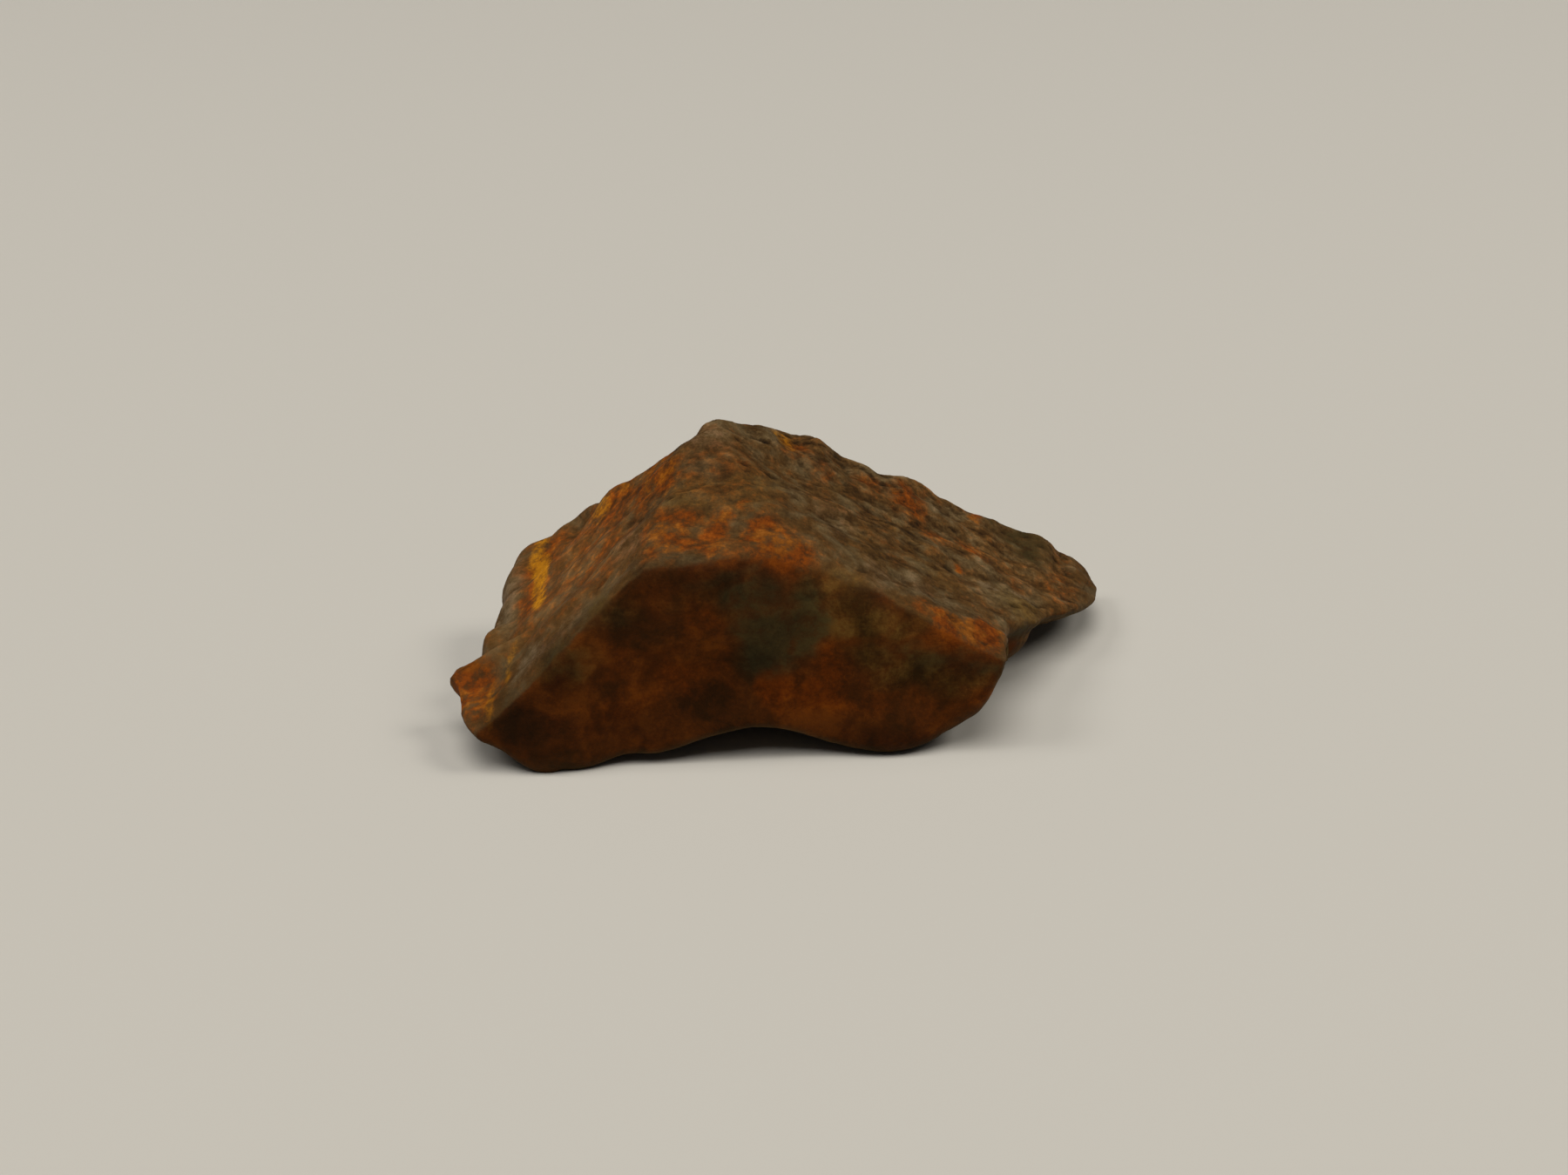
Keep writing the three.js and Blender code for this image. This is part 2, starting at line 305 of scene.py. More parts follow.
# Relief of the skin, in millimetres. A fade is a start, the length over which it gains 1, and the
# least and the most that it may be.
relief = {
    "warp": {"wide": 5, "narrow": 2, "share": 0.4, "seeds": (3, 4, 5), "apart": 3},  # bends the rest
    "bark": {
        "height": 0.11,
        "across": 1.1,
        "along": 1.9,
        "bend": 0.9,
        "worn": 0.4,  # share that is left where the grain is worn away
        "noise": (10, 3),  # seed, octaves
    },
    "furrows": {
        "depth": 0.13,
        "across": 1.3,
        "along": 3.6,
        "bend": 1.2,
        "sharp": 4,
        "noise": (14, 2),
        "breaks": (0.5, 4, 18),  # start, size and seed of the noise that breaks them up
        "hollow": 0.8,  # how hollow they count for the colour, where a pit counts 1
    },
    "steps": {
        "height": 0.17,
        "spacing": 2.9,
        "bends": [(1.3, 6, 20), (0.6, 2.4, 21)],  # height, size, seed
        "drop": (0.8, 0.2),  # where in its rise a step drops, and over how much of it
        "middle": 0.4,
        "comes": (0.4, 1.2, 5, 22),  # start, gain, size and seed of the noise that fades them
    },
    "swell": {"height": 0.11, "size": 4.4, "rear": 1.4, "edge": 0.4, "noise": (30, 2)},
    "grit": {"height": 0.045, "size": 0.8, "noise": (40, 2)},
    "pits": {
        "depth": 0.20,
        "size": 1.3,
        "stretch": 1.8,
        "bend": 0.5,
        "share": 0.30,
        "reach": (0.16, 0.34),  # least, and what chance adds
        "rear": 0.5,  # how much deeper they are at the rear
        "seed": 50,
    },
    "front": (-0.7, -1.8, 8),  # start, gain on how far a face points back, rounds of evening
    "rear": 1.5,  # the gain for the rear
    "frontCalm": 0.5,  # share of the relief that the front face keeps
    "sharp": 0.38,  # an edge that stands this far out loses half of its relief
    "edgeRounds": 14,  # of evening, against which edges are measured
    "calm": {
        "front": (0.62, 60, 0.6, 1.15),  # rougher to the rear
        "tip": (0, 3, 0.35, 1),  # calm at the right tip, measured back from tipAt
        "tipAt": 31.5,
        "left": (1.4, 28, 0.62, 1),  # and calmer to the left
    },
    "worn": {  # the grain is worn away to the left, and at the front from wornAt
        "left": (0.62, 16, 0.2, 1),
        "front": (0, 12, 0.3, 1),
        "wornAt": 2,
    },
    "touches": [  # centre, radii, height: low swellings and hollows along the edges
        ((-24.2, 21, 7), (3, 6, 3.5), 0.5),
        ((-24.2, 22.8, 7.6), (2.4, 4, 2.4), 0.6),
        ((-23.6, 27, 8.6), (3.6, 5, 3.0), 1.1),
        ((-25.5, 17.4, 6), (2.4, 2.6, 2.4), -0.4),
        ((-24.9, 13.6, 6.0), (2.6, 3.2, 2.4), 1.3),
        ((-14.4, 24.5, 16), (3, 4, 3), 0.7),
        ((-18.4, 25.5, 12.6), (2.6, 4, 2.6), -1.0),
        ((-7.4, 24, 22.8), (1.8, 4, 1.8), -0.9),
        ((-4.2, 22.5, 24), (2.0, 3, 2), 0.3),
        ((-0.6, 24.6, 21.2), (2.2, 3.4, 2.2), 0.5),
        ((1.2, 28, 20), (3.0, 4, 2.6), -0.5),
        ((3.6, 29, 18.9), (2.6, 3.4, 2.2), 0.5),
        ((5, 27, 18.9), (4.6, 4, 2.4), 0.5),
        ((8.6, 28.6, 16.4), (2.6, 4, 2.2), 0.4),
        ((11.8, 29.8, 14.6), (3.0, 4, 2.2), 0.5),
        ((20, 32.5, 9.4), (3.4, 4, 2.6), 0.4),
        ((25.8, 33.2, 6.4), (3.4, 4, 2.6), 1.0),
        ((29.4, 32.4, 4.8), (2.6, 4, 2.4), 0.6),
        ((-26.2, 7.6, 5.8), (4.4, 5, 2.6), -0.8),
        ((-26.8, 4, 3.4), (3.0, 4, 2.6), 0.4),
        ((17.2, 5.2, 3.8), (3.6, 3, 3.4), 0.6),
        ((-19.6, 21.8, 10.4), (1.0, 0.8, 1.0), -0.5),  # one deep pit
    ],
    "eased": [((0.1, 29, 20.4), 3.0), ((-28, 5, 5), 1.6)],  # centre, reach of an evened edge
    "easing": (24, 1.6, 0.8),  # rounds, gain towards the centre, most
}
mixing = {  # large odd numbers, and the shifts and factors that stir their bits
    "factors": (73856093, 19349663, 83492791),
    "seed": 7919,
    "stirs": [(15, 2654435761), (13, 2246822519), (17, 1)],
    "kept": 0xFFFFFF,
}


def scatter(cells, seed):
    # one number from 0 to 1 for each whole-number cell, by mixing the bits of its coordinates
    h = np.uint64(seed * mixing["seed"])
    for k, factor in enumerate(mixing["factors"]):
        h = h ^ cells[..., k].astype(np.int64).view(np.uint64) * np.uint64(factor)
    for shift, factor in mixing["stirs"]:
        h = (h ^ (h >> np.uint64(shift))) * np.uint64(factor)
    return (h & np.uint64(mixing["kept"])).astype(float) / mixing["kept"]


def noise(p, seed):
    # random numbers on a grid of unit cells, blended smoothly between its corners, from -1 to 1
    low = np.floor(p).astype(np.int64)
    t = p - low
    t = t**3 * (t * (t * 6 - 15) + 10)
    total = 0
    for corner in np.ndindex(2, 2, 2):
        total = total + np.prod(np.where(corner, t, 1 - t), axis=1) * scatter(low + corner, seed)
    return 2 * total - 1


def cloud(p, seed, octaves):
    # noise at doubled and doubled scales, each half as strong and shifted on
    shift = 17.3
    return sum(noise(p * 2**k + shift * k, seed + k) / 2**k for k in range(octaves))


def dents(p, seed, share):
    # 1 at a scattered point, falling as a parabola to 0 at its reach
    least, chance = relief["pits"]["reach"]
    low = np.floor(p).astype(np.int64)
    deepest = np.zeros(len(p))
    for corner in np.ndindex(3, 3, 3):
        cell = low + corner - np.array([1, 1, 1])
        centre = cell + np.stack([scatter(cell, seed + k) for k in range(3)], 1)
        reach = least + chance * scatter(cell, seed + 3) ** 2
        chosen = scatter(cell, seed + 4) < share
        bowl = 1 - (np.linalg.norm(p - centre, axis=1) / reach) ** 2
        deepest = np.maximum(deepest, np.where(chosen, bowl, 0))
    return deepest


def fade(t, start, length, least, most):
    # a straight line that gains 1 over the length, kept between the least and the most
    return np.clip(start + t / length, least, most)


def grainSpace(p, across, along):
    # coordinates that are short across the laminae and long in their plane
    return np.stack([grainDepth(p) / across, p[:, 0] / along, p[:, 2] / along], 1)


def heightOver(p, quads, normal, rounds):
    # how far a point stands above the mean of its neighbours, along its normal
    mean = p
    for _ in range(rounds):
        mean = neighbourMean(mean, quads)
    return ((p - mean) * normal).sum(1)


def touchUp(p, quads):
    # height along the normal: parabolas squared, one for each low swelling or hollow
    height = np.zeros(len(p))
    for at, radii, rise in relief["touches"]:
        reach = np.linalg.norm((p - at) / np.array(radii), axis=1)
        height += rise * np.clip(1 - reach**2, 0, 1) ** 2
    return p + height[:, None] * pointNormals(p, quads)


def ease(p, quads):
    # points near each centre move towards the mean of their neighbours, round after round
    rounds, gain, most = relief["easing"]
    for at, reach in relief["eased"]:
        offset = np.linalg.norm(p - at, axis=1)
        near = np.clip(gain - gain * offset / reach, 0, most)[:, None]
        for _ in range(rounds):
            p = p + near * (neighbourMean(p, quads) - p)
    return p


def warpOf(p):
    # for each axis a wide noise plus a share of a narrow one
    row = relief["warp"]
    bends = []
    for seed in row["seeds"]:
        narrow = noise(p / row["narrow"], seed + row["apart"])
        bends.append(noise(p / row["wide"], seed) + row["share"] * narrow)
    return np.stack(bends, 1)


def calmness(p):
    # product of three fades: the share of the relief that each part of the fragment keeps
    x, y, calm = p[:, 0], p[:, 1], relief["calm"]
    return fade(y, *calm["front"]) * fade(calm["tipAt"] - x, *calm["tip"]) * fade(x, *calm["left"])


def grainKept(p):
    # product of two fades: the share of the grain that wear has left
    worn = relief["worn"]
    return fade(p[:, 0], *worn["left"]) * fade(p[:, 1] - worn["wornAt"], *worn["front"])


def furrows(p, warp):
    # 1 where a noise stretched along the grain is 0, less as it departs from 0, broken up by another
    row = relief["furrows"]
    start, size, seed = row["breaks"]
    crease = cloud(grainSpace(p + row["bend"] * warp, row["across"], row["along"]), *row["noise"])
    breaks = np.clip(noise(p / size, seed) + start, 0, 1)
    return np.clip(1 - row["sharp"] * np.abs(crease), 0, 1) * breaks


def terraces(p):
    # the part of a whole step that the bent grain depth has passed, less a curve that drops at its end
    row = relief["steps"]
    (drop, over), (start, gain, size, fadeSeed) = row["drop"], row["comes"]
    bent = grainDepth(p)
    for height, wide, seed in row["bends"]:
        bent = bent + height * noise(p / wide, seed)
    phase = bent / row["spacing"]
    rise = phase - np.floor(phase)
    terrace = rise - np.clip((rise - drop) / over, 0, 1) ** 2 - row["middle"]
    return terrace * np.clip(start + gain * noise(p / size, fadeSeed), 0, 1)


def facingFront(normal, quads):
    # 1 where the surface faces the front, 0 where it doesn't, evened along the surface
    start, gain, rounds = relief["front"]
    front = np.clip(gain * normal[:, 1] + start, 0, 1)
    for _ in range(rounds):
        front = neighbourMean(front[:, None], quads)[:, 0]
    return front


def carve(p, quads):
    # height along the normal: bark, steps, grit and swells, less furrows and pits, all of it lower
    # on sharp edges, on the front and where the fragment is calm
    bark, furrow, step, swell, grit, pit = (
        relief[name] for name in ("bark", "furrows", "steps", "swell", "grit", "pits")
    )
    normal = pointNormals(p, quads)
    front = facingFront(normal, quads)
    rear = np.clip(relief["rear"] * normal[:, 1], 0, 1)
    edge = np.abs(heightOver(p, quads, normal, relief["edgeRounds"])) / relief["sharp"]
    rough = calmness(p)
    kept = grainKept(p)
    warp = warpOf(p)
    layers = cloud(grainSpace(p + bark["bend"] * warp, bark["across"], bark["along"]), *bark["noise"])
    layers = layers * (bark["worn"] + (1 - bark["worn"]) * kept)
    cracks = furrows(p, warp) * kept
    swells = cloud(p / swell["size"], *swell["noise"])
    grains = cloud(p / grit["size"], *grit["noise"])
    pitted = grainSpace(p + pit["bend"] * warp, pit["size"], pit["size"] * pit["stretch"])
    holes = dents(pitted, pit["seed"], pit["share"])
    height = bark["height"] * layers + step["height"] * terraces(p) - furrow["depth"] * cracks
    height += grit["height"] * grains - pit["depth"] * (1 + pit["rear"] * rear) * holes
    height = height / (1 + edge**2)
    rolling = swell["height"] * (1 + swell["rear"] * rear) * swells
    height = height + rolling / (1 + swell["edge"] * edge**2)
    calm = rough * (1 - front * (1 - relief["frontCalm"]))
    hollow = np.maximum(holes, furrow["hollow"] * cracks)
    fields = {"front": front, "hollow": hollow, "layers": layers, "rough": rough}
    return p + (height * calm)[:, None] * normal, fields


def fragmentSurface():
    # a roof-shaped block of grids pushed out to the skin, evened, settled and carved
    uvw, quads = blockGrid(shape["grid"])
    p = searchOut(uvw)
    rounds, evenings = shape["evening"]
    for _ in range(rounds):
        for _ in range(evenings):
            p = (p + neighbourMean(p, quads)) / 2
        p = settle(p)
    p, fields = carve(ease(touchUp(p, quads), quads), quads)
    p[:, 2] = np.maximum(p[:, 2], 0)  # worn flat where it rests
    return p, quads, fields


def fitToNode(p):
    # moved and stretched so that its lowest and highest corners are the node's
    low, high = p.min(0), p.max(0)
    nodeLow, nodeHigh = (np.array(corner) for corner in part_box("meteorite"))
    print("skin from", low.round(3), "to", high.round(3))
    return nodeLow + (p - low) / (high - low) * (nodeHigh - nodeLow)


class Wire:
    # an output socket that adds, subtracts and multiplies like a number, with a Math node each time
    def __init__(self, tree, socket):
        self.tree, self.socket = tree, socket

    def math(self, operation, first, second):
        # the operation on two numbers or links
        return self.tree.add("Math", {"operation": operation}, {0: first, 1: second})

    def __add__(self, other):
        return self.math("ADD", self, other)

    def __sub__(self, other):
        return self.math("SUBTRACT", self, other)

    def __rsub__(self, other):
        return self.math("SUBTRACT", other, self)

    def __mul__(self, other):
        return self.math("MULTIPLY", self, other)

    __radd__, __rmul__ = __add__, __mul__


class Tree:
    # one material, empty at first; each method adds nodes to it and gives back a Wire
    def __init__(self, name):
        self.material = bpy.data.materials.new(name)
        self.material.use_nodes = True
        self.nodes, self.links = self.material.node_tree.nodes, self.material.node_tree.links
        self.nodes.clear()

    def add(self, kind, settings=None, inputs=None, output=0):
        # any node: its type, its settings, then the values or links of its sockets
        node = self.nodes.new("ShaderNode" + kind)
        for name, value in (settings or {}).items():
            if name == "stops":
                self.setStops(node.color_ramp, value)
            else:
                setattr(node, name, value)
        for name, value in (inputs or {}).items():
            if isinstance(value, Wire):
                self.links.new(value.socket, node.inputs[name])
            else:
                node.inputs[name].default_value = value
        return Wire(self, node.outputs[output]) if node.outputs else None

    def setStops(self, ramp, stops):
        # as many elements as stops, each at its place with its colour
        while len(ramp.elements) < len(stops):
            ramp.elements.new(0.5)
        for element, (place, colour) in zip(ramp.elements, stops):
            element.position, element.color = place, (*colour, 1)

    def mix(self, factor, first, second):
        # first times 1 - factor plus second times factor; 6, 7 and 2 are its colour sockets
        return self.add("Mix", {"data_type": "RGBA"}, {0: factor, 6: first, 7: second}, 2)

    def step(self, value, low, high):
        # 0 below low, 1 above high, a smooth curve between
        settings = {"interpolation_type": "SMOOTHSTEP"}
        return self.add("MapRange", settings, {0: value, 1: low, 2: high})

    def ramp(self, value, stops):
        # straight blends between the colours of neighbouring stops
        return self.add("ValToRGB", {"stops": stops}, {0: value})

    def speckle(self, place, scale, detail, rough, bend):
        # fractal noise: each finer octave is rough times as strong as the one before
        return self.add("TexNoise", None, {
            "Vector": place,
            "Scale": scale,
            "Detail": detail,
            "Roughness": rough,
            "Distortion": bend,
        })

    def mask(self, name):
        # the mesh's own number at each point
        return self.add("Attribute", {"attribute_name": name}, None, 2)


print("helpers ready")

# Where the finishes lie, in millimetres: centre, radii and strength of each patch.
patches = {
    "ochre": [
        ((-22.4, 26, 8.9), (0.9, 2.6, 1.8), 1.0),  # streak down the left slope
        ((-21.5, 20.6, 9.4), (0.8, 3.6, 1.6), 1.1),
        ((-21.0, 15, 9.6), (0.7, 2.4, 1.2), 0.8),
        ((-15.2, 23, 15.2), (1.6, 2.2, 1.4), 0.8),  # along the upper left edge
        ((-13.2, 22.5, 17), (1.2, 1.6, 1.2), 0.5),
        ((-9, 17.5, 20.8), (1.6, 2.5, 1.6), 0.3),
        ((-22.9, 7.4, 6.4), (0.45, 3.0, 2.0), 0.5),  # where the ear joins
        ((-24.2, 3.6, 4.7), (0.5, 3.0, 1.4), 0.45),
        ((0.8, 26.4, 20.6), (1.4, 2, 1.2), 0.45),  # behind the crest
    ],
    "rust": [
        ((-9.4, 17.2, 20.2), (2.2, 4.5, 2.2), 0.95),  # upper left edge
        ((-14.4, 21.4, 16), (4.0, 4.0, 3), 0.8),
        ((-17.6, 22.5, 12.8), (2.6, 4, 2.5), 0.6),
        ((-21.4, 20, 9.4), (2.2, 8, 3), 0.8),
        ((-15, 15, 15), (6, 9, 5), 0.5),  # faint, over the whole left slope
        ((-4.5, 14, 21.6), (5, 6, 3), 0.4),  # faint, over the crest
        ((-8.9, 7.2, 19.3), (2.4, 3.0, 1.8), 0.9),  # spur
        ((-6.0, 5.2, 19.3), (3.4, 2.2, 1.2), 0.85),
        ((-5.0, 8.0, 19.7), (1.0, 1.8, 1), 1.0),
        ((-2.8, 10.4, 20.7), (1.1, 1.4, 1), 0.7),
        ((-0.9, 6.8, 19.4), (1.5, 2.8, 1.4), 1.1),  # right end of the spur
        ((0.9, 5.2, 18.4), (2.2, 1.8, 1.4), 1.0),
        ((1.6, 25.4, 20.0), (2.2, 2.0, 1.2), 0.7),  # behind the crest
        ((4.4, 23.6, 18.6), (1.8, 1.8, 1.2), 0.5),
        ((12.3, 26.9, 14), (2.2, 2.8, 1.6), 0.85),  # far edge of the right slope
        ((8.4, 27, 16), (2.2, 1.4, 1.2), 0.7),
        ((15.2, 23, 11.9), (2.6, 1.4, 1.2), 0.7),
        ((18.6, 24.4, 10.2), (1.8, 1.2, 1.0), 0.6),
        ((16.9, 18.4, 10.8), (0.5, 0.8, 0.7), 1.05),
        ((19.1, 31.6, 10), (0.6, 1.2, 0.8), 1.2),
        ((22.5, 22.5, 8.2), (2.6, 2.4, 1.4), 0.35),
        ((27.8, 27, 5.4), (2.0, 4.0, 1.6), 0.45),  # right tip
        ((18.2, 7.0, 9.6), (2.6, 2.2, 1.3), 1.5),  # above the lobe
        ((15.2, 6.4, 11.1), (2.8, 1.8, 1.2), 1.2),
        ((11.8, 5.8, 12.6), (2.0, 1.4, 1.0), 0.5),
        ((-25.8, 6, 5.1), (3.0, 4.5, 2), 0.95),  # ear
        ((-19, 15, 12.5), (6, 8, 6), 0.42),  # a thin bloom on the left slope
        ((-10.8, 18.5, 19.4), (2.4, 4, 2), 0.9),
        ((0.2, 3.1, 6.4), (1.6, 2, 1.5), 1.2),  # front face
        ((3.6, 3.4, 5.6), (3.0, 2, 1.8), 0.9),
        ((4.4, 3.5, 8.4), (1.7, 2, 2.4), 0.9),
        ((9.0, 4.0, 4.8), (2.6, 2, 1.6), 0.45),
        ((13.4, 4.8, 4.6), (1.6, 2, 1.1), 0.3),
        ((17.6, 5.2, 5.8), (1.4, 2, 0.9), 0.5),
        ((-5.8, 2.6, 12.2), (2.0, 2, 3.0), 0.7),
        ((-7.6, 2.8, 8.0), (2.6, 2, 2.4), 0.6),
        ((-12.6, 1.9, 6.0), (3.6, 2, 1.6), 0.45),
        ((-16.4, 1.2, 5.0), (2.0, 2, 2.0), 0.35),
        ((-14, 1.8, 10.4), (2.6, 2, 2.2), 0.35),
    ],
    "dark": [
        ((-0.4, 3.2, 11.4), (2.6, 2, 3.4), 1.0),  # green-black, middle of the front
        ((-1.4, 2.8, 15.0), (2.6, 2, 1.8), 0.8),
        ((2.7, 3.4, 12.8), (2.0, 1.6, 2.6), 0.9),
        ((-3.6, 2.7, 17.9), (5, 1.3, 1.0), 0.5),  # under the rim, darker green-black: partly painted shade below its overhang
        ((-9.5, 2.6, 17.4), (4, 1.3, 1.0), 0.3),
        ((-14.5, 2.2, 14.6), (3.4, 1.4, 1.2), 0.4),
        ((-17.5, 1.2, 10.4), (3.0, 1.4, 1.4), 0.4),
        ((12.6, 4.3, 9.8), (3.4, 1.3, 1.0), 0.45),  # the dark ridge of the lobe
        ((15.7, 4.7, 8.9), (3.0, 1.3, 1.0), 0.6),
        ((18.2, 5.0, 7.7), (2.6, 1.3, 0.9), 0.65),
        ((24, 32.2, 7.2), (4.2, 3.2, 1.8), 0.75),  # far edge of the right slope
        ((20.6, 33, 9), (1.8, 1.8, 1.4), 0.6),
        ((5.8, 21, 17.3), (2.6, 2.6, 1.2), 0.4),
        ((-3.6, 24, 23.2), (1.4, 2.2, 1.2), 0.4),
        ((-19.6, 21.8, 10.4), (0.8, 0.7, 0.8), 1.2),
        ((22.4, 14.4, 6.6), (1.4, 1.6, 1.2), 0.6),  # painted shade in the recess at the root of the notch
    ],
    "olive": [  # green-grey, and moss green on the front face
        ((-7.0, 11.4, 20.9), (3.2, 4.0, 1.5), 0.8),  # crest
        ((-1.8, 13, 20.9), (2.6, 4.0, 1.5), 0.9),
        ((22.6, 17, 7.8), (3.0, 3.4, 2), 0.7),  # lower right of the slope
        ((8, 12, 15.9), (4.5, 5, 2), 0.4),
        ((6.4, 3.9, 13.4), (3.5, 1.6, 1.6), 0.9),  # shoulder
        ((10.6, 4.6, 12.0), (2.6, 1.6, 1.2), 0.8),
        ((14, 15, 12.2), (4, 4, 2), 0.4),
        ((11.6, 20.6, 14), (3.2, 2.6, 1.4), 0.4),
        ((5.2, 4.4, 15.4), (3.2, 2, 1.8), 0.8),
        ((-13.4, 3.0, 14.6), (3.0, 1.4, 1.4), 0.8),  # inside the left rim
        ((-17.4, 1.6, 10.2), (3.0, 1.4, 1.4), 0.6),
        ((-5.4, 2.4, 14.8), (3.0, 1.6, 1.6), 0.5),
        ((9.3, 4.2, 10.0), (2.8, 1.6, 1.6), 0.8),  # under the shoulder
        ((12.0, 4.5, 8.0), (3.2, 1.6, 1.4), 0.9),
        ((15.2, 5.0, 6.6), (3.0, 1.6, 1.2), 0.7),
    ],
    "light": [  # these two only lighten and darken, and partly paint light and shade
        ((-18, 17, 12), (7, 10, 7), 1.15),  # the left slope is paler all over
        ((-23, 14, 8), (3, 8, 3), 0.9),
        ((-26, 6, 5), (3, 4, 2), 0.5),
        ((20, 22, 9), (9, 9, 4), 0.5),  # and so is the low half of the right slope
        ((24, 26, 7), (6, 6, 3), 0.3),
        ((-13, 8, 16.5), (3.5, 5, 3.5), 0.9),
        # painted light: the shoulder and the front just below it are lightened where the rounded edge
        # turns up towards the lamps
        ((7.8, 4.1, 12.0), (4.6, 2, 2.6), 0.8),
        ((13, 4.8, 7), (4, 2, 2.4), 0.4),
        ((4.6, 4.6, 16.2), (3.2, 2, 1.6), 0.9),
        ((11.2, 4.4, 12.0), (2.4, 2, 1.4), 0.6),
    ],
    # darker patches: painted shade along the low edges of the front and under the rim, elsewhere a
    # darker colour
    "dim": [
        ((-20, 1.0, 4.6), (3.4, 2.0, 2.6), 1.0),  # low edge of the front: painted shade near the floor
        ((-14, 1.6, 4.0), (5, 2.0, 1.8), 0.8),
        ((-6, 2.0, 5.0), (5, 2.0, 1.6), 0.7),
        ((11.0, 4.3, 1.6), (5, 2.4, 1.6), 0.9),
        ((-18.2, 2.2, 9.8), (1.5, 2.2, 3.6), 1.0),  # just inside the bevel
        ((2.8, 3.4, 12.0), (1.8, 1.8, 2.0), 0.6),  # right end of the green-black
        ((15.6, 4.7, 8.8), (4.6, 1.7, 1.3), 0.6),  # ridge of the lobe
        ((-6.4, 2.7, 17.5), (7, 1.6, 1.4), 0.6),  # under the rim: painted shade below its overhang
    ],
    "pale": [
        ((-16.6, 4.8, 12), (2.4, 1.8, 3.4), 0.4),  # worn bevel, partly a painted sheen
        ((-20.4, 4.4, 8.0), (2.4, 1.6, 3), 0.8),
        ((-12.0, 9.5, 17.2), (2.2, 3.4, 2), 0.5),
        ((-6.2, 20.2, 22.6), (2.2, 2.2, 1.6), 0.6),  # tip
        ((-24.4, 21, 6.6), (1.2, 6, 2.4), 0.8),
        ((8.3, 8.0, 15.8), (4.0, 2.6, 1.4), 0.5),
        ((5.2, 14, 17.4), (3.0, 3.0, 1.4), 0.4),
        ((13.2, 10.2, 13), (3.6, 1.8, 1.4), 0.5),
        ((19.4, 18.2, 9.4), (0.7, 1.0, 0.7), 1.2),
        ((23.6, 20.0, 7.6), (2.0, 0.7, 0.8), 0.9),
        ((21.2, 9.4, 8.4), (0.7, 2.0, 1.0), 0.9),
        ((28.4, 23.6, 5.6), (1.0, 0.8, 0.8), 0.9),
    ],
}


masks = {  # how the numbers that the finish reads at each point are worked out
    "seeds": (70, 20),  # of the first set of patches, and what each next one adds
    "swirl": {"size": 3.2, "apart": 5, "octaves": 3},  # the noise that bends an outline
    "bend": 0.9,  # how far it bends it
    "fineBend": 0.45,  # and how far for the narrow ochre streaks
    "gone": 1.6,  # a patch is gone at this many radii, and full at one less
    "fine": (3, 9),  # what stands out: rounds of evening, gain
    "broad": (30, 1.6),
    "under": (-0.1, -1.6),  # painted shade on faces that point down: start, gain on how far a face points up
}


def patchMask(p, spots, seed, bend):
    # 1 inside each warped ellipsoid, falling to 0 past its rim; the strongest patch wins
    row = masks["swirl"]
    swirls = [cloud(p / row["size"], seed + row["apart"] * k, row["octaves"]) for k in range(3)]
    bent = p + bend * np.stack(swirls, 1)
    total = np.zeros(len(p))
    for at, radii, strength in spots:
        reach = np.linalg.norm((bent - at) / np.array(radii), axis=1)
        total = np.maximum(total, strength * np.clip(masks["gone"] - reach, 0, 1))
    return total


def standsOut(p, quads, normal, rounds, gain):
    # height over the evened surface times the gain, kept between -1 and 1
    return np.clip(heightOver(p, quads, normal, rounds) * gain, -1, 1)


def buildFragment():
    # the surface fitted to its node, with one number a point for each field and each set of patches
    p, quads, fields = fragmentSurface()
    normal = pointNormals(p, quads)
    fields["fine"] = standsOut(p, quads, normal, *masks["fine"])
    fields["broad"] = standsOut(p, quads, normal, *masks["broad"])
    firstSeed, nextSeed = masks["seeds"]
    for number, (name, spots) in enumerate(patches.items()):
        bend = masks["fineBend"] if name == "ochre" else masks["bend"]
        fields[name] = patchMask(p, spots, firstSeed + nextSeed * number, bend)
    # painted shade: the faces that point down get the dark palette
    start, gain = masks["under"]
    fields["under"] = np.clip(gain * normal[:, 2] + start, 0, 1)
    mesh = bpy.data.meshes.new("meteoriteSkin")
    mesh.from_pydata(fitToNode(p), [], quads)
    mesh.shade_smooth()
    for name, values in fields.items():
        attribute = mesh.attributes.new(name, "FLOAT", "POINT")
        attribute.data.foreach_set("value", values.astype(np.float32))
    piece = bpy.data.objects.new("meteoriteSkin", mesh)
    scene.collection.objects.link(piece)
    return piece


